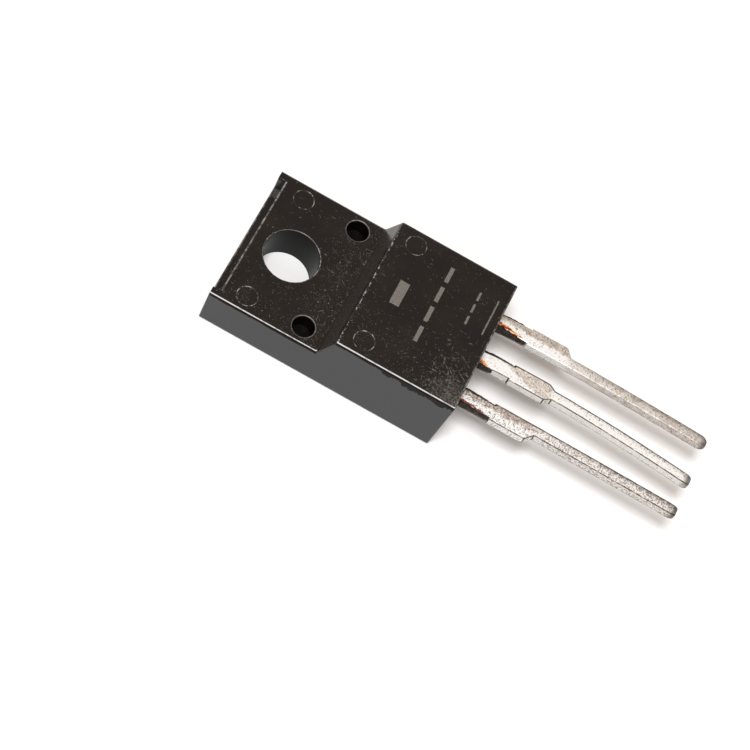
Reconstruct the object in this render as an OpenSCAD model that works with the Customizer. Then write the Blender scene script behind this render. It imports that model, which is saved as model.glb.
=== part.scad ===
// Fully moulded three-lead power transistor.
// It lies on its back: z = 0 is the face that goes against a heat sink.
// The origin is the centre of the screw hole on that face. The leads run
// towards -Y, the tab's end is at +Y, and the marked face looks up.

/* [Moulded case] */
// Width of the case at its back, before its edges there are rounded
body_w = 10.1; // [9:0.1:12]
// Draft of the two sides, which lean in towards the front
side_draft = 4.3; // [0:0.1:6]
// Length of the case from the tips of its ears to its lead end
case_l = 15.4; // [14.4:0.1:18]
// Slant of the lead end, which is shorter at the back
end_slant = 2.7; // [0:0.1:4]
// Thickness of the body
body_t = 4.5; // [4.2:0.05:6]
// Thickness of the tab
tab_t = 2.7; // [2.3:0.05:3]
// Screw hole's centre to the foot of the shoulder
tab_l = 4; // [3.6:0.05:4.5]
// Length of the sloped shoulder, seen from above
shoulder_l = 0.72; // [0.2:0.02:1.2]
// Rounding of the two long edges at the back
back_edge_r = 0.15; // [0.05:0.05:0.5]

/* [Tab end] */
// Screw hole's centre to the tips of the ears
hole_to_end = 3; // [2.8:0.05:4]
// Length of the ears past the tab's end wall
ear_l = 0.5; // [0.2:0.02:0.8]
// Width of each ear at its top
ear_w = 0.53; // [0.3:0.01:1.2]
// Height of the ledge between the ears
ledge_t = 1.5; // [0.8:0.05:2.2]

/* [Screw hole] */
// Diameter of the hole, a clearance hole for an M3 screw
bore_d = 3.4; // [3.1:0.05:3.8]
// Broken edge at the hole's front rim
bore_break = 0.07; // [0.02:0.01:0.2]

/* [Moulding marks] */
// Diameter of the two blind holes that the mould's pins leave
pin_d = 1.36; // [0.8:0.02:1.6]
// Centre of a blind hole to the side of the tab's front face
pin_edge = 1.1; // [0.9:0.02:1.6]
// Centre of a blind hole to the foot of the shoulder
pin_to_shoulder = 1.38; // [1:0.02:1.8]
// Moulding compound left under a blind hole, over the header
pin_floor = 0.2; // [0.1:0.05:0.6]
// Broken edge at a blind hole's rim
pin_break = 0.07; // [0.02:0.01:0.15]
// Diameter of the shallow ejector marks
mark_d = 1.26; // [0.8:0.02:1.8]
// Depth of the ejector marks
mark_depth = 0.03; // [0.01:0.01:0.1]
// Centre of an ejector mark to the side of its face
mark_edge = 1.04; // [0.95:0.01:1.6]
// Centre of the tab's ejector marks to its end wall
tab_mark_to_wall = 1.46; // [1:0.01:1.6]
// Centre of the body's ejector marks to the top of the shoulder
body_mark_to_shoulder = 1.31; // [1:0.01:3]

/* [Leads] */
// Distance between the leads' centre lines
pitch = 2.54; // [2.3:0.01:3]
// Thickness of the leads
lead_t = 0.64; // [0.4:0.01:0.8]
// Height of the leads' underside over the back of the case
lead_z = 2.5; // [2.2:0.05:3]
// Length of the leads outside the case
lead_l = 14.2; // [8:0.1:20]
// Width of the leads' narrow stretch
narrow_w = 0.65; // [0.45:0.01:0.9]
// Width of the leads' wide stretch
wide_w = 1.16; // [1.05:0.01:1.4]
// Case to the end of the wide stretch
wide_l = 4.4; // [3:0.05:5.5]
// Length over which the wide stretch narrows
neck_l = 0.42; // [0.2:0.02:1]
// Width of the leads' root, between the case and the cut dam bar
root_w = 0.96; // [0.8:0.01:1]
// Case to the cut dam bar
root_l = 2.04; // [1:0.02:2.6]
// Length of the tapered tip
tip_l = 0.5; // [0.3:0.05:1.5]
// Width of the tip's blunt end
tip_w = 0.42; // [0.2:0.01:0.5]
// Thickness of the tip's blunt end
tip_t = 0.44; // [0.15:0.01:0.5]

/* [Lead frame inside] */
// Moulding compound under the header, which insulates it
back_cover = 0.5; // [0.3:0.02:0.8]
// Thickness of the copper header
header_t = 0.9; // [0.6:0.02:1.1]
// Moulding compound beside the header and the bond posts
side_cover = 0.9; // [0.6:0.02:1.2]
// Moulding compound between the header and the tab's end wall
end_cover = 0.6; // [0.4:0.02:1]
// Moulding compound between the header and the screw hole
bore_cover = 0.6; // [0.4:0.02:0.9]
// Header to the lead end of the case
header_to_lead_end = 2.6; // [2.3:0.05:3.4]
// Length of the centre lead inside the case before it bends down
flat_l = 0.7; // [0.3:0.02:1.2]
// Length of the tongue that is forged into the header
tongue_l = 0.5; // [0.3:0.02:1]
// Length of the outer leads inside the case before their bond posts
neck_in_l = 0.8; // [0.4:0.02:1]
// Width of each bond post
post_w = 2.2; // [1.8:0.02:2.3]
// Length of each bond post
post_l = 1.5; // [1.1:0.02:2]

/* [Chip and wires] */
// Width of the silicon chip
die_w = 3.6; // [2.8:0.05:5]
// Length of the silicon chip
die_l = 3; // [2.4:0.05:3.8]
// Thickness of the silicon chip
die_t = 0.25; // [0.15:0.01:0.4]
// Thickness of the solder under the chip
solder_t = 0.05; // [0.03:0.01:0.12]
// Solder that shows round the chip
solder_rim = 0.12; // [0.05:0.01:0.2]
// Chip to the header's lead end
die_to_header_end = 0.7; // [0.4:0.02:1.2]
// Diameter of the source wires
source_wire_d = 0.35; // [0.2:0.01:0.4]
// Distance between the two source wires
source_wire_gap = 0.8; // [0.6:0.02:1]
// Diameter of the gate wire
gate_wire_d = 0.15; // [0.1:0.01:0.25]
// Radius of the wires' bends, on the centre line
wire_bend = 0.45; // [0.3:0.01:0.55]
// Rise of a wire over its bond post before it bends
wire_rise = 0.12; // [0.05:0.01:0.2]
// Bond to the nearest edges of the chip or the post
bond_edge = 0.5; // [0.45:0.01:0.6]

/* [Hidden] */
$fn = 64;
// Overshoot of a cut past the face that it opens
cut = 0.5;
// Flats that a rounded back edge is made of
EDGE_STEPS = 6;

// Places along Y
ear_y = hole_to_end;
wall_y = ear_y - ear_l;
foot_y = -tab_l;
shoulder_y = foot_y - shoulder_l;
lead_end_y = ear_y - case_l;
end_lean = body_t * tan(end_slant);
root_y = lead_end_y - root_l;
wide_y = lead_end_y - wide_l;
neck_y = wide_y - neck_l;
tip_y = lead_end_y - lead_l;
taper_y = tip_y + tip_l;
header_end_y = wall_y - end_cover;
header_lead_y = lead_end_y + header_to_lead_end;
bend_y = lead_end_y + flat_l;
post_y = lead_end_y + neck_in_l;
die_y = header_lead_y + die_to_header_end;

// Heights
header_top = back_cover + header_t;
solder_top = header_top + solder_t;
die_top = solder_top + die_t;
lead_top = lead_z + lead_t;
pin_bottom = header_top + pin_floor;

// Half widths: the case's at height z, the lead frame's, the fork's radius
function side_x(z) = body_w / 2 - z * tan(side_draft);
inner_half = side_x(header_top) - side_cover;
notch_r = bore_d / 2 + bore_cover;

// The outer leads widen on their outer side only: -1 gate, 0 drain, 1 source
GATE = -1;
DRAIN = 0;
SOURCE = 1;
function lead_x(side) = side * pitch;
function wide_x(side) = lead_x(side) + side * (wide_w - narrow_w) / 2;

// One long edge of a lead seen from above, from inside the case to the tip
function lead_edge(side, hand, inner_y) = [
    [wide_x(side) + hand * root_w / 2, inner_y],
    [wide_x(side) + hand * root_w / 2, root_y],
    [wide_x(side) + hand * wide_w / 2, root_y],
    [wide_x(side) + hand * wide_w / 2, wide_y],
    [lead_x(side) + hand * narrow_w / 2, neck_y],
    [lead_x(side) + hand * narrow_w / 2, taper_y],
    [lead_x(side) + hand * tip_w / 2, tip_y]
];

function reversed(list) = [for (i = [len(list) - 1 : -1 : 0]) list[i]];

// Turns an outline drawn in Y and Z into a slab across the case
module across(width) {
    translate([-width / 2, 0, 0])
        rotate([90, 0, 90])
            linear_extrude(width) children();
}

// One flat lead from inner_y, inside the case, to its tapered tip
module flat_lead(side, inner_y) {
    tip_inset = (lead_t - tip_t) / 2;
    intersection() {
        translate([0, 0, lead_z])
            linear_extrude(lead_t)
                polygon(concat(
                    lead_edge(side, -1, inner_y),
                    reversed(lead_edge(side, 1, inner_y))
                ));
        across(2 * (pitch + wide_w))
            polygon([
                [inner_y, lead_z],
                [inner_y, lead_top],
                [taper_y, lead_top],
                [tip_y, lead_top - tip_inset],
                [tip_y, lead_z + tip_inset],
                [taper_y, lead_z]
            ]);
    }
}

// Flat pad at the inner end of an outer lead, where its wires are bonded
module bond_post(side) {
    translate([side * (inner_half - post_w / 2) - post_w / 2, post_y, lead_z])
        cube([post_w, post_l, lead_t]);
}

// Copper plate under the chip, forked round the screw hole
module header_plate() {
    difference() {
        translate([-inner_half, header_lead_y, back_cover])
            cube([2 * inner_half, header_end_y - header_lead_y, header_t]);
        translate([0, 0, back_cover - cut])
            cylinder(r = notch_r, h = header_t + 2 * cut);
    }
}

// Stretch of the centre lead that steps down to the header
module drain_bend() {
    across(root_w)
        polygon([
            [lead_end_y, lead_z],
            [lead_end_y, lead_top],
            [bend_y, lead_top],
            [header_lead_y, header_top],
            [header_lead_y + tongue_l, header_top],
            [header_lead_y + tongue_l, header_top - lead_t],
            [header_lead_y, header_top - lead_t],
            [bend_y, lead_z]
        ]);
}

module drain_shape() {
    header_plate();
    drain_bend();
    flat_lead(DRAIN, lead_end_y);
}

module outer_lead_shape(side) {
    flat_lead(side, post_y);
    bond_post(side);
}

module solder_shape() {
    translate([-die_w / 2 - solder_rim, die_y - solder_rim, header_top])
        cube([die_w + 2 * solder_rim, die_l + 2 * solder_rim, solder_t]);
}

module die_shape() {
    translate([-die_w / 2, die_y, solder_top])
        cube([die_w, die_l, die_t]);
}

// A quarter bend from upright, over its centre, to level
module quarter_bend(wire_d) {
    rotate([90, 0, 0])
        rotate_extrude(angle = 90)
            translate([wire_bend, 0]) circle(d = wire_d);
}

// A round wire that rises from the chip, bends over and drops to a post
module bond_wire(foot, post, wire_d) {
    span = norm([post.x - foot.x, post.y - foot.y]);
    spring_z = lead_top + wire_rise;
    translate([foot.x, foot.y, 0])
        rotate([0, 0, atan2(post.y - foot.y, post.x - foot.x)]) {
            translate([0, 0, die_top])
                cylinder(d = wire_d, h = spring_z - die_top);
            translate([span, 0, lead_top])
                cylinder(d = wire_d, h = wire_rise);
            translate([wire_bend, 0, spring_z])
                mirror([1, 0, 0]) quarter_bend(wire_d);
            translate([span - wire_bend, 0, spring_z])
                quarter_bend(wire_d);
            translate([wire_bend, 0, spring_z + wire_bend])
                rotate([0, 90, 0]) cylinder(d = wire_d, h = span - 2 * wire_bend);
        }
}

// Bonds on the posts: the outer one near the case's side, the inner beside it
post_bond_x = inner_half - bond_edge;
post_bond_y = post_y + post_l - bond_edge;
die_bond_x = die_w / 2 - bond_edge;

module gate_wire_shape() {
    bond_wire([-die_bond_x, die_y + bond_edge], [-post_bond_x, post_bond_y], gate_wire_d);
}

// place is 0 for the wire nearest the case's side and 1 for the next one in
module source_wire_shape(place) {
    inset = place * source_wire_gap;
    bond_wire(
        [die_bond_x - inset, die_y + bond_edge + source_wire_gap - inset],
        [post_bond_x - inset, post_bond_y],
        source_wire_d
    );
}

// Everything that the moulding compound is cast round
module embedded() {
    drain_shape();
    outer_lead_shape(GATE);
    outer_lead_shape(SOURCE);
    solder_shape();
    die_shape();
    gate_wire_shape();
    source_wire_shape(0);
    source_wire_shape(1);
}

// Right half of the case's cross-section, taller than the body: the rounded
// back edge and the drafted side above it
function side_outline() =
    let (
        turn = 90 + side_draft,
        centre_x = body_w / 2 - back_edge_r / tan((90 - side_draft) / 2)
    )
    concat(
        [for (i = [0 : EDGE_STEPS])
            let (a = -90 + turn * i / EDGE_STEPS)
            [centre_x + back_edge_r * cos(a), back_edge_r + back_edge_r * sin(a)]],
        [[side_x(body_t + cut), body_t + cut]]
    );

function mirrored(list) = [for (p = reversed(list)) [-p.x, p.y]];

// Everything between the two drafted sides
module between_sides() {
    translate([0, ear_y + cut, 0])
        rotate([90, 0, 0])
            linear_extrude(case_l + 2 * cut)
                polygon(concat(side_outline(), mirrored(side_outline())));
}

// Tab, shoulder and body as one moulding, with the recess between its ears
module case_blank() {
    recess_half = side_x(tab_t) - ear_w;
    intersection() {
        between_sides();
        difference() {
            across(body_w)
                polygon([
                    [ear_y, 0],
                    [ear_y, tab_t],
                    [foot_y, tab_t],
                    [shoulder_y, body_t],
                    [lead_end_y, body_t],
                    [lead_end_y + end_lean, 0]
                ]);
            translate([-recess_half, wall_y, ledge_t])
                cube([2 * recess_half, ear_l + cut, body_t]);
        }
    }
}

// Thin flash of compound on both sides of each lead, out to the dam bar. It
// starts far enough in to meet the slanted lead end.
module lead_flash() {
    flash_t = (wide_w - root_w) / 2;
    for (side = [GATE, DRAIN, SOURCE], hand = [-1, 1])
        translate([
            wide_x(side) + hand * (root_w + flash_t) / 2 - flash_t / 2,
            root_y,
            lead_z
        ])
            cube([flash_t, root_l + end_lean, lead_t]);
}

// A round cut down from a front face, with its rim broken
module rimmed_hole(hole_d, bottom_z, top_z, rim) {
    translate([0, 0, bottom_z])
        cylinder(d = hole_d, h = top_z - bottom_z + cut);
    translate([0, 0, top_z - rim])
        cylinder(d1 = hole_d, d2 = hole_d + 2 * rim, h = rim);
}

// A pair of shallow round marks on a front face at height z
module ejector_marks(y, z) {
    for (hand = [-1, 1])
        translate([hand * (side_x(z) - mark_edge), y, z - mark_depth])
            cylinder(d = mark_d, h = cut);
}

module mould_case() {
    color([0.09, 0.085, 0.08])
        difference() {
            union() {
                case_blank();
                lead_flash();
            }
            rimmed_hole(bore_d, -cut, tab_t, bore_break);
            for (hand = [-1, 1])
                translate([hand * (side_x(tab_t) - pin_edge), foot_y + pin_to_shoulder, 0])
                    rimmed_hole(pin_d, pin_bottom, tab_t, pin_break);
            ejector_marks(wall_y - tab_mark_to_wall, tab_t);
            ejector_marks(shoulder_y - body_mark_to_shoulder, body_t);
            embedded();
        }
}

module drain_frame() {
    color([0.77, 0.74, 0.70]) drain_shape();
}

module gate_lead() {
    color([0.77, 0.74, 0.70]) outer_lead_shape(GATE);
}

module source_lead() {
    color([0.77, 0.74, 0.70]) outer_lead_shape(SOURCE);
}

module die_solder() {
    color([0.60, 0.60, 0.62]) solder_shape();
}

module silicon_die() {
    color([0.30, 0.32, 0.38]) die_shape();
}

module gate_wire() {
    color([0.86, 0.86, 0.87]) gate_wire_shape();
}

module source_wire_inner() {
    color([0.86, 0.86, 0.87]) source_wire_shape(1);
}

module source_wire_outer() {
    color([0.86, 0.86, 0.87]) source_wire_shape(0);
}

mould_case();
drain_frame();
gate_lead();
source_lead();
die_solder();
silicon_die();
gate_wire();
source_wire_inner();
source_wire_outer();
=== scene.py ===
"""A fully moulded three-lead power transistor, lying on its back on a pale table.

Lengths are in millimetres, in the frame of the CAD model: the origin is the centre of the screw hole on the
back face, +Y runs from the leads to the tab's end, and +Z is out of the marked front. MM turns them into
metres where a mesh, a camera or a light is made.
"""

import math

import bmesh
import bpy
from mathutils import Matrix, Vector, noise


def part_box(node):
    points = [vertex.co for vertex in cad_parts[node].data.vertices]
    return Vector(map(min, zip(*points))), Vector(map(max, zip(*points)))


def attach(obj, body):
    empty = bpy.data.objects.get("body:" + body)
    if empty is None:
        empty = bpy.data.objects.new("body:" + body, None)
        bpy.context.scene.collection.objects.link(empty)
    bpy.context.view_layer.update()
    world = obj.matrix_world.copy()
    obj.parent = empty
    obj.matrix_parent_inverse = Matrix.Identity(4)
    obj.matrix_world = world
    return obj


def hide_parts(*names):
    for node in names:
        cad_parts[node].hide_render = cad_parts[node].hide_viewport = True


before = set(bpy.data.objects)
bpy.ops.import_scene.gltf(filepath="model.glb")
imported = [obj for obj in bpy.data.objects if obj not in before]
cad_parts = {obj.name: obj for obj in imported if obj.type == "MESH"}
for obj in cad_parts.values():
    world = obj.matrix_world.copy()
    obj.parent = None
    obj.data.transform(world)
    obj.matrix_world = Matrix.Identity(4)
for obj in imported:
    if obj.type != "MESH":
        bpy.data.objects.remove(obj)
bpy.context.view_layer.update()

MM = 0.001

# Sizes of the case
case_low, case_high = (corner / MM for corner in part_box("mould_case"))
BODY_W = 10.1
SIDE_DRAFT = math.radians(4.3)
END_SLANT = math.radians(2.7)
BODY_T = case_high.z
BACK_EDGE_R = 0.15
LONG_EDGE_R = 0.14
CROSS_EDGE_R = 0.09
TAB_END_R = 0.05
FOOT_R = 0.15
EDGE_STEPS = 4
TAB_T = 2.7
LEDGE_T = 1.5
EAR_Y = case_high.y
EAR_L = 0.5
EAR_W = 0.53
WALL_Y = EAR_Y - EAR_L
FOOT_Y = -4.0
SLOPE_L = 0.72
SHOULDER_Y = FOOT_Y - SLOPE_L
FLASH_END_Y = case_low.y
FLASH_L = 2.04
LEAD_END_Y = FLASH_END_Y + FLASH_L
BACK_Y = LEAD_END_Y + BODY_T * math.tan(END_SLANT)

# Round features: radius, and place of the right-hand one of each pair
BORE_R = 1.7
PIN_R = 0.68
PIN_PLACE = (3.747, -2.62)
MARK_R = 0.63
TAB_MARK_PLACE = (3.807, 1.04)
BODY_MARK_PLACE = (3.672, -6.03)
PIN_FLOOR_Z = 1.6
RIM_R = 0.08
RIM_STEPS = 5
MARK_DEPTH = 0.03
ROUND_STEPS = 96

# Leads
PITCH = 2.54
LEAD_Z = 2.5
LEAD_T = 0.64
LEAD_TOP = LEAD_Z + LEAD_T
LEAD_L = 14.2
WIDE_L = 4.4
ROOT_W = 0.96
WIDE_W = 1.16
NARROW_W = 0.65
TIP_L = 0.5
TIP_W = 0.42
LEAD_EDGE_R = 0.055
WORN_LEAD_EDGE_R = 0.12
DARK_RIM_W = 0.05
LEAD_SIDES = {"gate_lead": -1, "drain_frame": 0, "source_lead": 1}

# Tips: a full one is an ellipse cut off at FULL_TIP of its reach, and a blunt one narrows by BLUNT_LOSS
FULL_TIP = 0.88
BLUNT_LOSS = 0.3
BLUNT_POWER = 4

# How far the tin and the flash reach into the case, and how uneven the leads are
SUNK_L = 0.1
UNEVEN = 0.012

# Cuts across the leads, so that they can bend, and how close points are before they become one
SLICE_L = 0.3
TIP_SLICES = 6
SAME_POINT = 1e-4
SLIVER = 1e-3

# Sideways bends: each lead settles to its first shift and swings on to its last one past STRAIGHT_L
LEAD_BENDS = {-1: (0.0, -0.1), 0: (0.16, -0.56), 1: (0.14, -0.24)}
SETTLE_L = 0.8
STRAIGHT_L = 4.8
SWING_L = LEAD_L - STRAIGHT_L
SWING_POWER = 1.6

# Camera that was fitted to the photo
CAMERA_PLACE = Vector((-71.663, -4.088, 118.543))
CAMERA_FORWARD = Vector((0.5028, -0.02573, -0.86402))
CAMERA_UP = Vector((0.76069, 0.4879, 0.42814))
CAMERA_LENS = 112.508
SENSOR_W = 36

# Table
TABLE_W = 1800
TABLE_GAP = 0.01

# Colours of the compound
COMPOUND_DARK = (0.0045, 0.0028, 0.0018)
COMPOUND_LIGHT = (0.0095, 0.006, 0.004)
# Painted reflection: the case's upright faces are a lighter grey, as if they mirrored the bright table
SIDE_REFLECTION_GREY = (0.019, 0.020, 0.022)
# Painted reflection: the shoulder's slope is paler, as if it mirrored the tab's top
SLOPE_REFLECTION_GREY = (0.040, 0.035, 0.030)
# Painted dark reflection under the long front edges
REFLECTION_BAND_BLACK = (0.002, 0.002, 0.002)
SPECK_GREY = (0.235, 0.22, 0.195)
# Partly wear and partly painted highlights on the rims and the edges that run across
WEAR_AND_HIGHLIGHT_GREY = (0.40, 0.38, 0.35)
# Painted highlight on the long front edges
EDGE_HIGHLIGHT_GREY = (0.55, 0.55, 0.53)
MARK_GREY = (0.17, 0.155, 0.135)
# Painted shade in the holes, and painted dark reflection low on the long edges' rounding
SHADE_BLACK = (0.002, 0.0017, 0.0014)
SHADE_BROWN = (0.005, 0.004, 0.0033)
BREAK_BLACK = (0.006, 0.005, 0.004)
BREAK_BROWN = (0.10, 0.065, 0.045)

# Colours of the leads
CLEAN_TIN = (0.96, 0.95, 0.93)
RIGHT_EDGE_BROWN = (0.20, 0.17, 0.145)
# Painted shade on the leads' sides
SIDE_SHADE_TIN = (0.55, 0.53, 0.50)
# Painted shadow on the sides of the leads' roots
ROOT_SIDE_SHADOW = (0.16, 0.13, 0.11)
GRAIN_BROWN = (0.12, 0.095, 0.075)
LOWER_LINE_BROWN = (0.15, 0.13, 0.11)
TIP_BROWN = (0.08, 0.07, 0.055)
COPPER = (1.0, 0.40, 0.12)
COPPER_RED = (0.20, 0.03, 0.015)
EDGE_TIN_DARK = (0.05, 0.042, 0.035)
EDGE_TIN_BRIGHT = (0.42, 0.38, 0.34)

# Colours of what is inside the case, and of the table
CHIP_GAP = (0.07, 0.075, 0.10)
CHIP_BLUE = (0.20, 0.21, 0.27)
CHIP_VIOLET = (0.28, 0.27, 0.30)
SOLDER_BRIGHT = (0.50, 0.50, 0.51)
SOLDER_DULL = (0.33, 0.33, 0.34)
WIRE_BRIGHT = (0.80, 0.80, 0.82)
WIRE_DULL = (0.64, 0.64, 0.66)
TABLE_WARM = (0.90, 0.895, 0.89)
TABLE_GREY = (0.87, 0.865, 0.86)

# Middle of the stretch by the shoulder's foot that is scuffed most
SCUFFED_Y = FOOT_Y + 0.5


def side_x(z):
    """Half width of the case at height z."""
    return BODY_W / 2 - z * math.tan(SIDE_DRAFT)


class Shader:
    """A Principled material whose patterns are worked out from the place on the object, in millimetres."""

    def __init__(self, name):
        self.material = bpy.data.materials.new(name)
        self.material.use_nodes = True
        self.tree = self.material.node_tree
        self.bsdf = self.tree.nodes["Principled BSDF"]
        coordinates = self.tree.nodes.new("ShaderNodeTexCoord")
        self.place = self.vector("MULTIPLY", coordinates.outputs["Object"], (1 / MM,) * 3)
        self.x, self.y, self.z = self.axes(self.place)
        self.up = self.axes(self.tree.nodes.new("ShaderNodeNewGeometry").outputs["Normal"])[2]

    def axes(self, vector):
        made = self.tree.nodes.new("ShaderNodeSeparateXYZ")
        self.put(made.inputs[0], vector)
        return tuple(made.outputs)

    def put(self, socket, value):
        """Links an output to a socket, or sets the socket to a number or colour."""
        if isinstance(value, bpy.types.NodeSocket):
            self.tree.links.new(value, socket)
        elif socket.type == "RGBA" and len(value) == 3:
            socket.default_value = (*value, 1)
        else:
            socket.default_value = value

    def vector(self, operation, a, b):
        made = self.tree.nodes.new("ShaderNodeVectorMath")
        made.operation = operation
        self.put(made.inputs[0], a)
        self.put(made.inputs[1], b)
        return made.outputs["Vector"]

    def math(self, operation, a, b=0.0, c=0.0):
        made = self.tree.nodes.new("ShaderNodeMath")
        made.operation = operation
        for socket, value in zip(made.inputs, (a, b, c)):
            self.put(socket, value)
        return made.outputs[0]

    def both(self, *factors):
        """Product of several factors."""
        product = factors[0]
        for factor in factors[1:]:
            product = self.math("MULTIPLY", product, factor)
        return product

    def either(self, *factors):
        """Largest of several factors."""
        largest = factors[0]
        for factor in factors[1:]:
            largest = self.math("MAXIMUM", largest, factor)
        return largest

    def ramp(self, value, start, end, low=0.0, high=1.0):
        """Goes smoothly from low, where value is start, to high, where value is end."""
        made = self.tree.nodes.new("ShaderNodeMapRange")
        made.interpolation_type = "SMOOTHSTEP"
        for socket, number in zip(made.inputs, (value, start, end, low, high)):
            self.put(socket, number)
        return made.outputs[0]

    def near(self, value, middle, reach):
        """1 where value is within reach of middle, and 0 elsewhere."""
        return self.math("COMPARE", value, middle, reach)

    def off(self, a, b):
        """How far a is from b."""
        return self.math("ABSOLUTE", self.math("SUBTRACT", a, b))

    def upward(self):
        """1 on faces that look up, and 0 on those that tilt by 60 degrees or more."""
        return self.ramp(self.up, 0.5, 0.9)

    def sideways(self):
        """1 on upright faces and those that look down, and 0 on those that tilt by less than 60 degrees."""
        return self.ramp(self.up, 0.5, 0.2)

    def turned(self, degrees):
        """The place, turned about Z."""
        made = self.tree.nodes.new("ShaderNodeVectorRotate")
        made.rotation_type = "Z_AXIS"
        self.put(made.inputs["Vector"], self.place)
        self.put(made.inputs["Angle"], math.radians(degrees))
        return made.outputs["Vector"]

    def noise(self, per_mm, detail=3.0, rough=0.55, stretch=(1, 1, 1), turn=0):
        made = self.tree.nodes.new("ShaderNodeTexNoise")
        self.put(made.inputs["Vector"], self.vector("MULTIPLY", self.turned(turn), stretch))
        self.put(made.inputs["Scale"], per_mm)
        self.put(made.inputs["Detail"], detail)
        self.put(made.inputs["Roughness"], rough)
        return made.outputs[0]

    def specks(self, per_mm, radius, share):
        """Round specks: share is the part of the cells that hold one, and radius is in cells."""
        made = self.tree.nodes.new("ShaderNodeTexVoronoi")
        self.put(made.inputs["Vector"], self.place)
        self.put(made.inputs["Scale"], per_mm)
        chance = self.tree.nodes.new("ShaderNodeSeparateColor")
        self.put(chance.inputs[0], made.outputs["Color"])
        drawn = self.math("LESS_THAN", chance.outputs[0], share)
        size = self.math("MULTIPLY", chance.outputs[1], radius)
        return self.both(drawn, self.math("LESS_THAN", made.outputs["Distance"], size))

    def mix(self, factor, a, b):
        made = self.tree.nodes.new("ShaderNodeMix")
        made.data_type = "RGBA"
        self.put(made.inputs[0], factor)
        self.put(made.inputs[6], a)
        self.put(made.inputs[7], b)
        return made.outputs[2]

    def blend(self, factor, a, b):
        """Number between a and b."""
        made = self.tree.nodes.new("ShaderNodeMix")
        self.put(made.inputs[0], factor)
        self.put(made.inputs[2], a)
        self.put(made.inputs[3], b)
        return made.outputs[0]

    def bump(self, height, strength, depth_mm):
        made = self.tree.nodes.new("ShaderNodeBump")
        self.put(made.inputs["Strength"], strength)
        self.put(made.inputs["Distance"], depth_mm * MM)
        self.put(made.inputs["Height"], height)
        self.put(self.bsdf.inputs["Normal"], made.outputs[0])

    def surface(self, **values):
        """Sets the Principled sockets, whose names are written with _ for a space."""
        for name, value in values.items():
            self.put(self.bsdf.inputs[name.replace("_", " ")], value)
        return self.material


def compound():
    """Black moulding compound: satin and brownish, with dust, scratches, worn edges and the grey mark, and
    with painted highlights on the edges and painted reflections on the sides and the slope.
    """
    s = Shader("moulding_compound")
    cloud = s.noise(0.6, 4)
    grain = s.noise(9, 4, 0.7)
    dust = dust_and_chips(s)
    mark = front_mark(s)
    etched = s.both(mark, s.ramp(s.noise(12, 3, 0.7), 0.3, 0.6, 0.5, 1.0))
    scratch = s.both(scratches(s), s.ramp(grain, 0.4, 0.6), 0.4)
    specks = s.either(dust, scratch)
    edges = s.either(rim_wear_and_highlights(s), cross_edge_wear_and_highlights(s))
    edge_highlight = long_edge_highlight(s)
    dark_reflection = dark_reflection_band(s)
    colour = s.mix(s.ramp(cloud, 0.35, 0.7), COMPOUND_DARK, COMPOUND_LIGHT)
    # Painted reflection: upright faces lighter than the top
    colour = s.mix(s.sideways(), colour, SIDE_REFLECTION_GREY)
    # Painted reflection: the shoulder's slope paler
    colour = s.mix(slope_reflection(s), colour, SLOPE_REFLECTION_GREY)
    # Painted dark reflection right under the long front edges
    colour = s.mix(dark_reflection, colour, REFLECTION_BAND_BLACK)
    colour = s.mix(specks, colour, SPECK_GREY)
    # Partly wear and partly painted highlights on the rims and the edges that run across
    colour = s.mix(edges, colour, WEAR_AND_HIGHLIGHT_GREY)
    # Painted highlight along the long front edges
    colour = s.mix(edge_highlight, colour, EDGE_HIGHLIGHT_GREY)
    colour = s.mix(s.both(etched, 0.9), colour, MARK_GREY)
    roughness = s.blend(s.ramp(grain, 0.3, 0.7), 0.18, 0.27)
    roughness = s.blend(dark_reflection, roughness, 0.9)
    roughness = s.blend(s.either(specks, edges, edge_highlight), roughness, 0.65)
    roughness = s.blend(mark, roughness, 0.75)
    height = s.math("ADD", s.both(grain, 0.5), s.both(s.either(dust, etched), 0.8))
    s.bump(height, 0.5, 0.007)
    return s.surface(Base_Color=colour, Roughness=roughness, IOR=1.47)


def dust_and_chips(s):
    """Pale specks on the upper faces, densest by the shoulder and at the near corner, with a haze there."""
    shoulder = s.both(s.ramp(s.off(s.y, SCUFFED_Y), 2.6, 0.3), s.ramp(s.x, 4.5, 1.0, 0.3, 1.0))
    near_corner = s.both(s.ramp(s.x, 0.0, -4.0), s.ramp(s.y, -9.0, -12.0))
    near_side = s.ramp(s.x, 0.0, -4.5, 0.0, 0.5)
    dusty = s.either(shoulder, s.both(near_corner, 0.25), near_side)
    patchy = s.ramp(s.noise(0.8, 3), 0.35, 0.6, 0.3, 1.0)
    density = s.math("MULTIPLY_ADD", dusty, patchy, 0.07)
    coarse = s.specks(6.5, 0.32, s.both(density, 0.05))
    medium = s.specks(10.0, 0.42, s.both(density, 0.22))
    fine = s.specks(17.0, 0.6, s.both(density, 0.6))
    brightness = s.ramp(s.noise(4, 2), 0.35, 0.7, 0.1, 0.8)
    specks = s.both(s.either(coarse, s.both(medium, 0.7), s.both(fine, 0.45)), brightness)
    hazy = s.both(s.ramp(s.x, -2.6, -4.2), s.ramp(s.y, -10.2, -11.8))
    haze = s.both(hazy, s.ramp(s.noise(6, 4, 0.8), 0.42, 0.6), 0.3)
    return s.both(s.either(specks, haze), s.upward())


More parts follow.
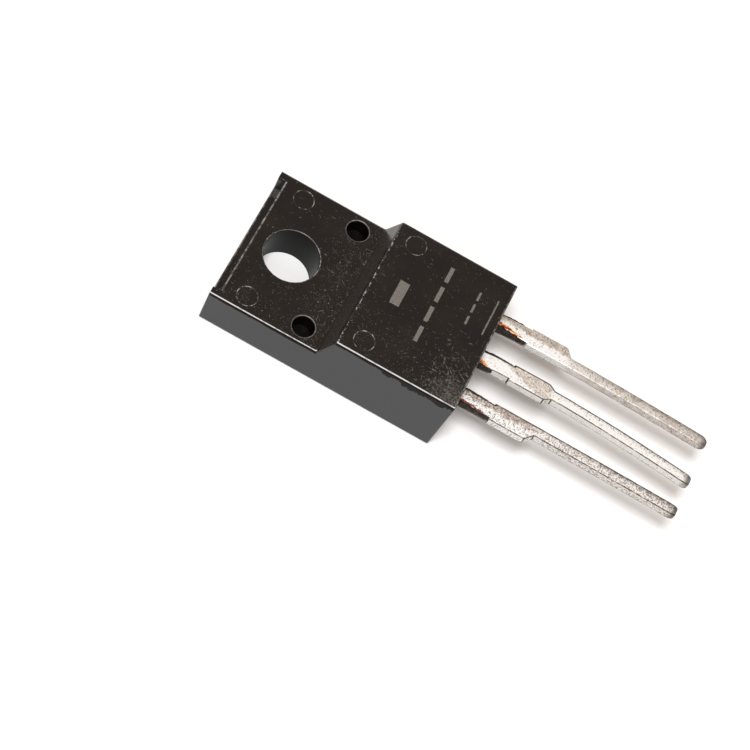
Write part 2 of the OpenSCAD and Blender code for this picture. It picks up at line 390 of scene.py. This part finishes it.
def scratches(s):
    """Fine scratches in four directions, most of them at the near corner of the lead end."""
    corner = s.both(s.ramp(s.x, 1.5, -3.5), s.ramp(s.y, -8.0, -11.5))
    shoulder = s.ramp(s.off(s.y, SCUFFED_Y), 2.2, 0.3)
    density = s.either(s.both(corner, 0.16), s.both(shoulder, 0.06))
    lines = []
    for turn, long_way, short_way in ((0, 1.1, 9), (78, 1.3, 11), (35, 1.6, 13), (-40, 1.5, 12)):
        streaks = s.noise(1.0, 2, 0.5, (short_way, long_way, 1), turn)
        lines.append(s.ramp(s.math("ADD", streaks, density), 0.74, 0.79))
    return s.both(s.either(*lines), s.upward())


def ring_round(s, place, radius, width):
    """A thin ring round place, and its mirror image."""
    across = s.off(s.math("ABSOLUTE", s.x), place[0])
    along = s.off(s.y, place[1])
    distance = s.math("SQRT", s.math("ADD", s.math("POWER", across, 2), s.math("POWER", along, 2)))
    soft = 0.015
    return s.ramp(s.off(distance, radius), width / 2 + soft, width / 2 - soft)


def rim_wear_and_highlights(s):
    """The rims of the holes and the edges of the ejector marks, partly worn and partly painted highlights."""
    patchy = s.ramp(s.noise(3.5, 3, 0.7), 0.48, 0.62, 0.06, 1.0)
    rims = s.either(
        s.both(ring_round(s, (0, 0), BORE_R + RIM_R / 2, 0.04), s.either(patchy, 0.25)),
        s.both(ring_round(s, PIN_PLACE, PIN_R + RIM_R / 2, 0.05), s.either(patchy, 0.45), 0.7),
        s.both(ring_round(s, TAB_MARK_PLACE, MARK_R, 0.05), patchy),
        s.both(ring_round(s, BODY_MARK_PLACE, MARK_R, 0.05), patchy),
    )
    return s.both(rims, 0.8)


def from_front_face(s):
    """How far a place is above or below the front face, the tab's or the body's."""
    return s.off(s.z, s.blend(s.math("GREATER_THAN", s.y, FOOT_Y), BODY_T, TAB_T))


def cross_edge_wear_and_highlights(s):
    """The edges that run across, partly worn and partly painted highlights. A place counts by its distance
    from the two faces that meet there.
    """
    from_front = from_front_face(s)
    wall_edge = s.math("ADD", s.off(s.y, WALL_Y), from_front)
    ledge_edge = s.math("ADD", s.off(s.y, EAR_Y), s.off(s.z, LEDGE_T))
    shoulder_edge = s.math("ADD", s.off(s.y, SHOULDER_Y), from_front)
    lead_end_edge = s.math("ADD", s.off(s.y, LEAD_END_Y), from_front)
    between_ears = s.near(s.x, 0.0, side_x(TAB_T) - EAR_W)
    patchy = s.ramp(s.noise(3.5, 3, 0.65), 0.42, 0.62, 0.15, 1.0)
    dots = s.ramp(s.noise(5, 2, 0.6), 0.5, 0.6)
    return s.either(
        s.both(s.ramp(wall_edge, 0.12, 0.07), between_ears, patchy, 0.6),
        s.both(s.ramp(ledge_edge, 0.10, 0.06), patchy, 0.4),
        s.both(s.ramp(shoulder_edge, 0.09, 0.05), dots, 0.7),
        s.both(s.ramp(lead_end_edge, 0.12, 0.08), s.either(dots, s.both(patchy, 0.5)), 0.4),
    )


def long_edge_highlight(s):
    """Painted highlight along the long front edges: bright on the left, where the light catches their
    rounding, and faint on the right.
    """
    side = s.math("MULTIPLY_ADD", s.z, -math.tan(SIDE_DRAFT), BODY_W / 2)
    from_edge = s.math("ADD", s.off(s.math("ABSOLUTE", s.x), side), from_front_face(s))
    line = s.both(s.ramp(from_edge, 0.18, 0.14), s.ramp(s.up, 0.76, 0.86), s.ramp(s.up, 0.995, 0.975))
    patchy = s.ramp(s.noise(2.5, 3, 0.6), 0.36, 0.52, 0.45, 1.0)
    return s.both(line, patchy, s.ramp(s.x, 1.0, -1.0, 0.12, 1.0))


def slope_reflection(s):
    """Painted reflection on the shoulder's slope: a little paler than the faces beside it, up to a dark line
    under its top.
    """
    tilt = SLOPE_L / math.hypot(SLOPE_L, BODY_T - TAB_T)
    tilted = s.ramp(s.off(s.up, tilt), 0.12, 0.05)
    on_slope = s.both(tilted, s.near(s.y, FOOT_Y - SLOPE_L / 2, 0.4))
    ragged = s.math("MULTIPLY_ADD", s.noise(2.2, 3, 0.7), 0.8, s.z)
    below_line = s.ramp(ragged, BODY_T + 0.2, BODY_T)
    return s.both(on_slope, below_line, s.ramp(s.noise(5, 3, 0.7), 0.3, 0.6, 0.6, 1.0))


def dark_reflection_band(s):
    """Painted dark reflection on the sides right under the front edge: uneven, black and rough, widest
    towards the lead end.
    """
    uneven = s.ramp(s.noise(0.9, 3, 0.6, (1, 1, 0.3)), 0.38, 0.62)
    reach = s.both(uneven, s.ramp(s.y, -6.0, -9.0, 0.15, 1.0), 0.4)
    below_edge = s.math("SUBTRACT", from_front_face(s), reach)
    return s.both(s.ramp(below_edge, LONG_EDGE_R + 0.06, LONG_EDGE_R), s.sideways())


def front_mark(s):
    """Plain bars burnt into the front of the body: a block, a row of dashes, a short row and a line."""
    jitter = s.math("MULTIPLY_ADD", s.noise(9, 2), 0.06, -0.03)
    x = s.math("ADD", s.x, jitter)
    y = s.math("ADD", s.y, jitter)

    def bar(middle, width, height, along=x):
        return s.both(s.near(along, middle[0], width / 2), s.near(y, middle[1], height / 2))

    def row(middle, width, height, count, step):
        """count equal dashes, step apart."""
        start = middle[0] - count * step / 2
        inside = s.near(x, middle[0], count * step / 2)
        place = s.math("WRAP", s.math("SUBTRACT", x, start), step, 0.0)
        return s.both(inside, bar((step / 2, middle[1]), width, height, place))

    marks = s.either(
        bar((0.25, -6.5), 1.7, 0.62),
        row((0.75, -8.55), 1.1, 0.26, 4, 1.5),
        row((1.8, -10.65), 0.62, 0.14, 3, 0.9),
        bar((1.8, -11.8), 2.6, 0.09),
    )
    return s.both(marks, s.math("GREATER_THAN", s.z, BODY_T - 2 * MARK_DEPTH))


def shaded_compound():
    """Painted shade: darker, duller compound for the holes' walls and floors, and a painted dark reflection
    low on the long edges' rounding.
    """
    s = Shader("shaded_compound")
    rings = s.noise(3, 4, 0.7, (1, 1, 4))
    colour = s.mix(rings, SHADE_BLACK, SHADE_BROWN)
    s.bump(rings, 0.4, 0.01)
    return s.surface(Base_Color=colour, Roughness=s.blend(rings, 0.3, 0.45), Specular_IOR_Level=0.1)


def broken_compound():
    """Dull black compound where the flash beside the leads has broken off."""
    s = Shader("broken_compound")
    crumbs = s.noise(8, 4, 0.75)
    colour = s.mix(s.ramp(crumbs, 0.5, 0.66), BREAK_BLACK, BREAK_BROWN)
    s.bump(crumbs, 0.9, 0.04)
    return s.surface(Base_Color=colour, Roughness=s.blend(crumbs, 0.55, 0.9), Specular_IOR_Level=0.3)


def bent_across(s, side, out):
    """How far a place is to the right of the middle of a lead's narrow stretch, bent as lead_sway says."""
    first, last = LEAD_BENDS[side]
    settle = s.math("SUBTRACT", 1.0, s.math("EXPONENT", s.math("DIVIDE", out, -SETTLE_L)))
    swing = s.math("DIVIDE", s.math("SUBTRACT", out, STRAIGHT_L), SWING_L)
    swing = s.math("POWER", s.math("MAXIMUM", 0.0, swing), SWING_POWER)
    middle = s.math("MULTIPLY_ADD", settle, first, side * PITCH)
    middle = s.math("MULTIPLY_ADD", swing, last, middle)
    return s.math("SUBTRACT", s.x, middle)


def copper_stripe(s, side, out, across, ragged, start, width, length):
    """The scraped stripe at the left of a lead's root: frayed, and narrower away from the case."""
    left_edge = side * (WIDE_W - NARROW_W) / 2 - ROOT_W / 2
    middle = s.ramp(out, 0.1, length, left_edge + start + 0.1, left_edge + 0.08)
    half_width = s.ramp(out, 0.1, length, width / 2, 0.05)
    fray = s.math("MULTIPLY_ADD", s.noise(8, 3, 0.7), 0.4, -0.2)
    from_stripe = s.math("SUBTRACT", s.math("ADD", s.off(across, middle), fray), half_width)
    before_end = s.ramp(s.math("ADD", out, ragged), length, length - 0.2)
    return s.both(s.ramp(from_stripe, 0.02, -0.02), before_end)


def tin(name, side, stained_from, stain_colour, dullness, pitted, copper_start, copper_w, copper_l, redness):
    """Grainy tin outside the case, with scraped copper at the lead's root, and bare copper inside the case.

    The wide stretch is stained past the x of stained_from, which has one value at the root and one at its
    end. dullness is how stained the narrow stretch is, and the higher pitted is, the more dark grains there
    are. The scraped stripe starts copper_start from the left edge of the root, is copper_w wide there and
    copper_l long, and the higher redness is, the more of it is dark red.
    """
    s = Shader(name)
    grain = s.noise(8.5, 4, 0.85)
    streak = s.noise(7, 3, 0.7, (1, 0.3, 1))
    blotch = s.noise(1.8, 4, 0.6)
    out = s.math("SUBTRACT", LEAD_END_Y, s.y)
    across = bent_across(s, side, out)
    ragged = s.math("MULTIPLY_ADD", s.noise(3.5, 3, 0.7), 0.8, -0.4)
    split = s.ramp(out, 0.5, WIDE_L, *stained_from)
    past_split = s.math("ADD", s.math("SUBTRACT", s.x, split), ragged)
    on_narrow = s.ramp(out, WIDE_L, WIDE_L + 0.6)
    patches = s.both(s.ramp(blotch, 0.35, 0.6, 0.6, 1.0), s.ramp(out, WIDE_L, WIDE_L + 3, 0.4, 1.0), dullness)
    stain = s.blend(on_narrow, s.ramp(past_split, -0.08, 0.12), patches)
    on_right = s.both(s.ramp(across, -0.1, 0.3), on_narrow, s.ramp(out, 3.0, LEAD_L, 0.4, 1.0))
    on_side = s.ramp(s.up, 0.6, 0.3)
    # Painted shadow on the sides of the root, under the flash, as far as the scraped stripe reaches
    shadowed_root_side = s.both(on_side, s.ramp(out, copper_l + 0.25, copper_l + 0.1))
    often = s.math("MULTIPLY_ADD", s.either(on_right, s.both(stain, 0.4)), 0.1, grain)
    grains = s.ramp(often, 0.64 - 0.2 * pitted, 0.70 - 0.2 * pitted)
    darker = tuple(0.7 * part for part in stain_colour)
    stained = s.mix(s.ramp(streak, 0.42, 0.6), stain_colour, darker)
    colour = s.mix(stain, CLEAN_TIN, stained)
    colour = s.mix(s.both(on_right, 0.2 + 0.6 * dullness), colour, RIGHT_EDGE_BROWN)
    # Painted shade: the sides darker than the top
    colour = s.mix(s.both(on_side, 0.4), colour, SIDE_SHADE_TIN)
    # Painted shadow on the sides of the root
    colour = s.mix(shadowed_root_side, colour, ROOT_SIDE_SHADOW)
    colour = s.mix(s.both(grains, 0.8), colour, GRAIN_BROWN)
    lower_line = s.both(s.ramp(s.z, LEAD_Z + 0.1, LEAD_Z + 0.07), s.ramp(streak, 0.35, 0.55, 0.1, 0.8))
    colour = s.mix(lower_line, colour, LOWER_LINE_BROWN)
    red_from = 0.66 - 0.3 * redness
    copper = s.mix(s.ramp(streak, red_from, red_from + 0.04), COPPER, COPPER_RED)
    stripe = copper_stripe(s, side, out, across, ragged, copper_start, copper_w, copper_l)
    inside = s.math("GREATER_THAN", s.y, LEAD_END_Y + SUNK_L)
    colour = s.mix(s.either(stripe, inside), colour, copper)
    tip = s.both(s.ramp(out, LEAD_L - 0.6, LEAD_L - 0.15), s.ramp(blotch, 0.3, 0.5, 0.5, 1.0))
    colour = s.mix(s.both(tip, 0.85), colour, TIP_BROWN)
    roughness = s.blend(grains, s.blend(stain, 0.38, 0.52), 0.65)
    s.bump(s.math("ADD", s.both(grain, 0.8), s.both(blotch, 0.9)), 0.75, 0.03)
    return s.surface(Base_Color=colour, Roughness=roughness, Metallic=0.5)


def tin_edge():
    """The dark edges of the leads."""
    s = Shader("tin_edge")
    edge_noise = s.noise(6, 4, 0.7, (1, 0.4, 1))
    colour = s.mix(s.ramp(edge_noise, 0.48, 0.66), EDGE_TIN_DARK, EDGE_TIN_BRIGHT)
    s.bump(edge_noise, 0.6, 0.02)
    return s.surface(Base_Color=colour, Roughness=s.blend(edge_noise, 0.35, 0.6), Metallic=0.9)


def silicon():
    """The chip's face: narrow stripes of cells that end at dark gaps across them, under a thin film."""
    s = Shader("silicon")
    along = s.ramp(s.math("PINGPONG", s.x, 0.05), 0.0, 0.02)
    across = s.ramp(s.math("PINGPONG", s.y, 0.4), 0.0, 0.03)
    stripe = s.both(along, across)
    film = s.noise(1.2, 3)
    colour = s.mix(stripe, CHIP_GAP, s.mix(film, CHIP_BLUE, CHIP_VIOLET))
    s.bump(stripe, 0.4, 0.003)
    return s.surface(Base_Color=colour, Roughness=s.blend(stripe, 0.3, 0.16), Metallic=0.7)


def solder():
    """Grey solder with a dull crust."""
    s = Shader("solder")
    crust = s.noise(7, 4, 0.65)
    colour = s.mix(s.ramp(crust, 0.35, 0.7), SOLDER_BRIGHT, SOLDER_DULL)
    s.bump(crust, 0.6, 0.02)
    return s.surface(Base_Color=colour, Roughness=s.blend(crust, 0.3, 0.6), Metallic=1.0)


def aluminium_wire():
    """Bright drawn aluminium."""
    s = Shader("aluminium_wire")
    drawn = s.noise(3, 3, 0.6, (8, 8, 1))
    colour = s.mix(drawn, WIRE_BRIGHT, WIRE_DULL)
    s.bump(drawn, 0.35, 0.006)
    return s.surface(Base_Color=colour, Roughness=s.blend(drawn, 0.2, 0.38), Metallic=1.0)


def table_top():
    """Pale matt table, faintly cloudy."""
    s = Shader("table_top")
    colour = s.mix(s.noise(0.05, 3), TABLE_WARM, TABLE_GREY)
    return s.surface(Base_Color=colour, Roughness=0.6)


def object_from(name, geometry, materials, slot=None):
    """An object from a bmesh in millimetres. With a slot, it is a piece that rides the part's body."""
    bmesh.ops.recalc_face_normals(geometry, faces=geometry.faces)
    geometry.transform(Matrix.Scale(MM, 4))
    mesh = bpy.data.meshes.new(name)
    geometry.to_mesh(mesh)
    geometry.free()
    mesh.polygons.foreach_set("use_smooth", [True] * len(mesh.polygons))
    for material in materials:
        mesh.materials.append(material)
    made = bpy.data.objects.new(name, mesh)
    bpy.context.scene.collection.objects.link(made)
    if slot:
        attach(made, "root")
    return made


def apply_modifiers(piece):
    """Turns what the modifiers make of a piece into its own mesh."""
    depsgraph = bpy.context.evaluated_depsgraph_get()
    mesh = bpy.data.meshes.new_from_object(piece.evaluated_get(depsgraph))
    piece.modifiers.clear()
    piece.data = mesh


def weight_normals(piece):
    """Keeps large faces flat and sharp edges sharp, and shades the small roundings smoothly."""
    piece.data.set_sharp_from_angle(angle=math.radians(35))
    weighted = piece.modifiers.new("flat_faces", "WEIGHTED_NORMAL")
    weighted.mode = "FACE_AREA"
    weighted.weight = 100
    weighted.keep_sharp = True


def lathe(geometry, profile, place):
    """Adds a closed solid turned from (radius, height) points about an upright axis at place."""
    rings = []
    for radius, height in profile:
        turns = [2 * math.pi * i / ROUND_STEPS for i in range(ROUND_STEPS)]
        rings.append([
            geometry.verts.new((place[0] + radius * math.cos(a), place[1] + radius * math.sin(a), height))
            for a in turns
        ])
    for low, high in zip(rings, rings[1:]):
        for i in range(ROUND_STEPS):
            j = (i + 1) % ROUND_STEPS
            geometry.faces.new((low[i], low[j], high[j], high[i]))
    geometry.faces.new(rings[0][::-1])
    geometry.faces.new(rings[-1])


def hole_profile(radius, bottom, top):
    """Outline of a cut with a rounded rim, from its bottom to above the face that it opens."""
    turns = [math.pi / 2 * i / RIM_STEPS for i in range(RIM_STEPS + 1)]
    rim = [(radius + RIM_R * (1 - math.cos(a)), top - RIM_R + RIM_R * math.sin(a)) for a in turns]
    return [(radius, bottom), *rim, (radius + RIM_R, top + 1)]


def mark_profile(top):
    """Outline of the shallow cut of an ejector mark."""
    return [(MARK_R - MARK_DEPTH, top - MARK_DEPTH), (MARK_R, top), (MARK_R, top + 1)]


def case_cuts():
    """All that is cut out of the case: the screw hole, the blind holes and the ejector marks."""
    cuts = bmesh.new()
    lathe(cuts, hole_profile(BORE_R, -1, TAB_T), (0, 0))
    for hand in (-1, 1):
        lathe(cuts, hole_profile(PIN_R, PIN_FLOOR_Z, TAB_T), (hand * PIN_PLACE[0], PIN_PLACE[1]))
        lathe(cuts, mark_profile(TAB_T), (hand * TAB_MARK_PLACE[0], TAB_MARK_PLACE[1]))
        lathe(cuts, mark_profile(BODY_T), (hand * BODY_MARK_PLACE[0], BODY_MARK_PLACE[1]))
    return cuts


def case_blank():
    """The case as a sharp-edged solid, with the recess between its ears."""
    side = [
        (EAR_Y, 0),
        (EAR_Y, TAB_T),
        (FOOT_Y, TAB_T),
        (SHOULDER_Y, BODY_T),
        (LEAD_END_Y, BODY_T),
        (BACK_Y, 0),
    ]
    recess = [(EAR_Y, TAB_T), (WALL_Y, TAB_T), (WALL_Y, LEDGE_T), (EAR_Y, LEDGE_T)]
    recess_x = side_x(TAB_T) - EAR_W
    geometry = bmesh.new()
    right, left = (
        [geometry.verts.new((hand * side_x(z), y, z)) for y, z in side] for hand in (1, -1)
    )
    recess_right, recess_left = (
        [geometry.verts.new((hand * recess_x, y, z)) for y, z in recess] for hand in (1, -1)
    )
    geometry.faces.new(right)
    geometry.faces.new(left[::-1])
    for i in (2, 3, 4, 5):
        j = (i + 1) % len(side)
        geometry.faces.new((right[i], right[j], left[j], left[i]))
    for i in (1, 2):
        geometry.faces.new((recess_right[i], recess_right[i + 1], recess_left[i + 1], recess_left[i]))
    geometry.faces.new(recess_right)
    geometry.faces.new(recess_left[::-1])
    geometry.faces.new((
        right[1], right[2], left[2], left[1],
        recess_left[0], recess_left[1], recess_right[1], recess_right[0],
    ))
    geometry.faces.new((
        right[0], right[1], recess_right[0], recess_right[3],
        recess_left[3], recess_left[0], left[1], left[0],
    ))
    return geometry


def edge_radius(a, b):
    """Rounding of the blank's edge between two corners."""
    lengthwise = abs(a.x - b.x) < 0.2 and abs(a.y - b.y) > 1
    at_back = a.z + b.z < 0.01
    if lengthwise:
        return BACK_EDGE_R if at_back else LONG_EDGE_R
    if min(a.y, b.y) > WALL_Y - 0.1:
        return TAB_END_R
    at_foot = abs(a.y - FOOT_Y) + abs(b.y - FOOT_Y) < 0.01
    return FOOT_R if at_foot else CROSS_EDGE_R


def darken_parts(shell):
    """Gives the second material, painted shade, to the holes' walls and floors, and a painted dark reflection
    low on the long edges' rounding.
    """
    slack = 0.02
    holes = [((0, 0), BORE_R)] + [((hand * PIN_PLACE[0], PIN_PLACE[1]), PIN_R) for hand in (-1, 1)]
    for face in shell.data.polygons:
        middle = face.center / MM
        below_rim = slack < middle.z < TAB_T - RIM_R - slack
        in_hole = any(math.dist(middle.xy, place) < radius + slack for place, radius in holes)
        on_long_edge = abs(middle.x) > side_x(middle.z) - LONG_EDGE_R
        looks_out = 0.15 < face.normal.z < 0.7 and abs(face.normal.y) < 0.1
        if (in_hole and below_rim) or (on_long_edge and looks_out):
            face.material_index = 1


def case_shell(material, shade_material):
    """The whole case: the blank with its edges rounded and its holes and marks cut."""
    geometry = case_blank()
    layer = geometry.edges.layers.float.new("bevel_weight_edge")
    for edge in geometry.edges:
        a, b = (corner.co for corner in edge.verts)
        edge[layer] = edge_radius(a, b) / FOOT_R
    shell = object_from("case_shell", geometry, [material, shade_material], "moulding_compound")
    rounding = shell.modifiers.new("rounding", "BEVEL")
    rounding.limit_method = "WEIGHT"
    rounding.width = FOOT_R * MM
    rounding.segments = EDGE_STEPS
    cuts = object_from("case_cuts", case_cuts(), [material])
    boring = shell.modifiers.new("boring", "BOOLEAN")
    boring.object = cuts
    boring.solver = "EXACT"
    apply_modifiers(shell)
    bpy.data.objects.remove(cuts)
    darken_parts(shell)
    weight_normals(shell)
    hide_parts("mould_case")


def flash_strip(geometry, side, hand, length, cover):
    """Ragged strip of compound along one side of a lead's root, which laps by cover onto the lead's top."""
    stations = 22
    tucked = 0.02
    seed = side * 3.1 + hand
    rings = []
    for i in range(stations + 1):
        share = i / stations
        y = LEAD_END_Y + SUNK_L - share * (length + SUNK_L)
        rag = noise.noise(Vector((share * 7, seed, 0)))
        chip = noise.noise(Vector((share * 17, seed, 5)))
        root_x = root_middle(side, y) + hand * (ROOT_W / 2 - tucked)
        width = (WIDE_W - ROOT_W) / 2 * (1.1 - 0.4 * share) + 0.05 * rag + 0.03 * chip
        outer_x = root_x + hand * width
        lap_x = root_x - hand * cover * max(0, 1 - 1.5 * share + 0.5 * rag)
        low = LEAD_Z + 0.24 + 0.04 * share + 0.14 * rag + 0.1 * chip
        high = LEAD_TOP + (0.025 if cover else -0.03) - 0.2 * max(0, share - 0.6)
        rings.append([
            geometry.verts.new(corner)
            for corner in ((root_x, y, low), (outer_x, y, low), (outer_x, y, high), (lap_x, y, high))
        ])
    for near, far in zip(rings, rings[1:]):
        for i in range(4):
            j = (i + 1) % 4
            geometry.faces.new((near[i], near[j], far[j], far[i]))
    geometry.faces.new(rings[0])
    geometry.faces.new(rings[-1][::-1])


def lead_flash(material):
    """All strips of flash: for each side of each lead its length and cover."""
    geometry = bmesh.new()
    strips = {
        (-1, -1): (2.0, 0.1),
        (-1, 1): (1.8, 0),
        (0, -1): (1.0, 0.12),
        (0, 1): (1.9, 0),
        (1, -1): (2.0, 0.24),
        (1, 1): (1.7, 0),
    }
    for (side, hand), (length, cover) in strips.items():
        flash_strip(geometry, side, hand, length, cover)
    object_from("lead_flash", geometry, [material], "moulding_compound")


def lead_sway(side, y):
    """How far a lead has been bent sideways at y."""
    out = LEAD_END_Y - y
    if out <= 0:
        return 0.0
    settle = 1 - math.exp(-out / SETTLE_L)
    swing = max(0.0, out - STRAIGHT_L) / SWING_L
    first, last = LEAD_BENDS[side]
    return first * settle + last * swing ** SWING_POWER


def root_middle(side, y):
    """Middle of a lead's root at y."""
    return side * (PITCH + (WIDE_W - NARROW_W) / 2) + lead_sway(side, y)


def tip_width(side, share):
    """Width of a rounded tip, share of the way along it: full on the right lead and blunt on the others."""
    if side == LEAD_SIDES["source_lead"]:
        return math.sqrt(1 - (FULL_TIP * share) ** 2)
    return 1 - BLUNT_LOSS * share ** BLUNT_POWER


def round_tip(place, side):
    """Turns the straight taper of a lead's tip into a rounded one."""
    share = (LEAD_END_Y - place.y - LEAD_L + TIP_L) / TIP_L
    if share <= 0:
        return
    straight = 1 - (1 - TIP_W / NARROW_W) * share
    narrowing = tip_width(side, share) / straight
    place.x = side * PITCH + (place.x - side * PITCH) * narrowing
    middle_z = LEAD_Z + LEAD_T / 2
    place.z = middle_z + (place.z - middle_z) * narrowing


def lead_blank(node):
    """The CAD node's own shape in millimetres, with whole flat faces."""
    geometry = bmesh.new()
    geometry.from_mesh(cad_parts[node].data)
    geometry.transform(Matrix.Scale(1 / MM, 4))
    bmesh.ops.remove_doubles(geometry, verts=geometry.verts, dist=SAME_POINT)
    bmesh.ops.dissolve_limit(
        geometry, angle_limit=math.radians(0.3), verts=geometry.verts, edges=geometry.edges
    )
    return geometry


def round_edges(geometry, edge_r, edge_material):
    """Rounds a lead's sharp edges and gives the roundings their material."""
    sharp = [edge for edge in geometry.edges if edge.calc_face_angle(0) > math.radians(25)]
    bmesh.ops.bevel(
        geometry, geom=sharp, offset=edge_r, segments=3, profile=0.5, affect="EDGES",
        clamp_overlap=True, material=edge_material,
    )
    geometry.normal_update()


def rim_top(geometry, side, rim_material):
    """Cuts a narrow rim into a lead's top face and gives its right-hand part a material."""
    top = [
        face for face in geometry.faces
        if face.normal.z > 0.99 and face.calc_center_median().y < LEAD_END_Y and face.calc_area() > 1
    ]
    rim = bmesh.ops.inset_region(geometry, faces=top, thickness=DARK_RIM_W, use_even_offset=True)["faces"]
    for face in rim:
        if face.calc_center_median().x > side * PITCH + DARK_RIM_W:
            face.material_index = rim_material


def slice_across(geometry):
    """Cuts a lead's faces across, so that it can bend, and clears slivers that cuts and roundings leave."""
    along = [SLICE_L * i for i in range(1, int(LEAD_L / SLICE_L))]
    near_tip = [LEAD_L - TIP_L * i / TIP_SLICES for i in range(1, TIP_SLICES + 1)]
    for out in along + near_tip:
        bmesh.ops.bisect_plane(
            geometry,
            geom=geometry.verts[:] + geometry.edges[:] + geometry.faces[:],
            plane_co=(0, LEAD_END_Y - out, 0),
            plane_no=(0, 1, 0),
        )
    bmesh.ops.remove_doubles(geometry, verts=geometry.verts, dist=SLIVER)
    bmesh.ops.dissolve_degenerate(geometry, edges=geometry.edges, dist=SLIVER)


def bend(geometry, side):
    """Rounds a lead's tip, bends it sideways and makes it a little uneven."""
    for vertex in geometry.verts:
        round_tip(vertex.co, side)
        if vertex.co.y < LEAD_END_Y:
            wobble = noise.noise(vertex.co * 1.3 + Vector((side * 9, 0, 0)))
            vertex.co.x += lead_sway(side, vertex.co.y) + UNEVEN * wobble


def dressed_lead(node, materials, slot, edge_r):
    """A lead with the CAD node's own shape, rounded at its edges and bent as in the photo.

    The last material goes on the rounded edges and on a narrow rim along the right edge of the top face.
    """
    side = LEAD_SIDES[node]
    last = len(materials) - 1
    geometry = lead_blank(node)
    round_edges(geometry, edge_r, last)
    rim_top(geometry, side, last)
    slice_across(geometry)
    bend(geometry, side)
    piece = object_from(node + "_tinned", geometry, materials, slot)
    weight_normals(piece)
    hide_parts(node)


def leads():
    """The three leads, each with its own stains, grains and scraped copper."""
    dark_edge_tin = tin_edge()
    gate_tin = tin(
        "tin_gate", LEAD_SIDES["gate_lead"],
        stained_from=(-2.75, -2.75), stain_colour=(0.68, 0.58, 0.52), dullness=0.4, pitted=0.65,
        copper_start=0.05, copper_w=0.16, copper_l=1.8, redness=1.3,
    )
    drain_tin = tin(
        "tin_drain", LEAD_SIDES["drain_frame"],
        stained_from=(0.6, -0.4), stain_colour=(0.76, 0.69, 0.62), dullness=0.1, pitted=0.35,
        copper_start=0.14, copper_w=0.28, copper_l=0.75, redness=0.3,
    )
    source_tin = tin(
        "tin_source", LEAD_SIDES["source_lead"],
        stained_from=(2.95, 2.9), stain_colour=(0.60, 0.53, 0.46), dullness=0.9, pitted=0.4,
        copper_start=0.22, copper_w=0.28, copper_l=1.8, redness=0.5,
    )
    dressed_lead("gate_lead", [gate_tin, dark_edge_tin], "tinned_gate", LEAD_EDGE_R)
    dressed_lead("drain_frame", [drain_tin, dark_edge_tin], "tinned_drain", LEAD_EDGE_R)
    dressed_lead("source_lead", [source_tin], "tinned_source", WORN_LEAD_EDGE_R)


def inner_parts():
    """Finishes the CAD nodes inside the case, which are shown as they are."""
    finishes = {"die_solder": solder(), "silicon_die": silicon()}
    wires = ("gate_wire", "source_wire_inner", "source_wire_outer")
    finishes.update(dict.fromkeys(wires, aluminium_wire()))
    for name, finish in finishes.items():
        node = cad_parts[name]
        node.data.materials.clear()
        node.data.materials.append(finish)


def area_light(name, place, size, watts, colour, target=(0, -8, 1)):
    """A soft light that faces the target."""
    lamp = bpy.data.lights.new(name, "AREA")
    lamp.shape = "RECTANGLE"
    lamp.size, lamp.size_y = (length * MM for length in size)
    lamp.energy = watts
    lamp.color = colour
    made = bpy.data.objects.new(name, lamp)
    made.location = Vector(place) * MM
    made.rotation_euler = (Vector(place) - Vector(target)).to_track_quat("Z", "Y").to_euler()
    bpy.context.scene.collection.objects.link(made)


def studio():
    """The table, a warm sky and two soft lights."""
    top = bmesh.new()
    bmesh.ops.create_grid(top, x_segments=8, y_segments=8, size=TABLE_W / 2)
    table = object_from("table", top, [table_top()])
    table.location.z = -TABLE_GAP * MM
    world = bpy.data.worlds.new("studio")
    world.use_nodes = True
    background = world.node_tree.nodes["Background"]
    background.inputs["Color"].default_value = (1.0, 0.875, 0.785, 1)
    background.inputs["Strength"].default_value = 0.48
    bpy.context.scene.world = world
    area_light(
        "softbox_over", place=(-105, 20, 340), size=(100, 130), watts=1.15, colour=(0.98, 0.99, 1.0)
    )
    area_light(
        "softbox_near", place=(-212, -6, 212), size=(30, 60), watts=0.1, colour=(0.86, 0.94, 1.0)
    )
    bpy.context.scene.view_settings.view_transform = "Standard"


def camera():
    """The camera that was fitted to the photo."""
    lens = bpy.data.cameras.new("camera")
    lens.lens = CAMERA_LENS
    lens.sensor_width = SENSOR_W
    lens.clip_start, lens.clip_end = 0.005, 20
    made = bpy.data.objects.new("camera", lens)
    back = -CAMERA_FORWARD.normalized()
    right = CAMERA_UP.cross(back).normalized()
    up = back.cross(right)
    turn = Matrix((right, up, back)).transposed()
    made.matrix_world = Matrix.Translation(CAMERA_PLACE * MM) @ turn.to_4x4()
    bpy.context.scene.collection.objects.link(made)
    bpy.context.scene.camera = made


camera()
studio()
case_shell(compound(), shaded_compound())
lead_flash(broken_compound())
leads()
inner_parts()
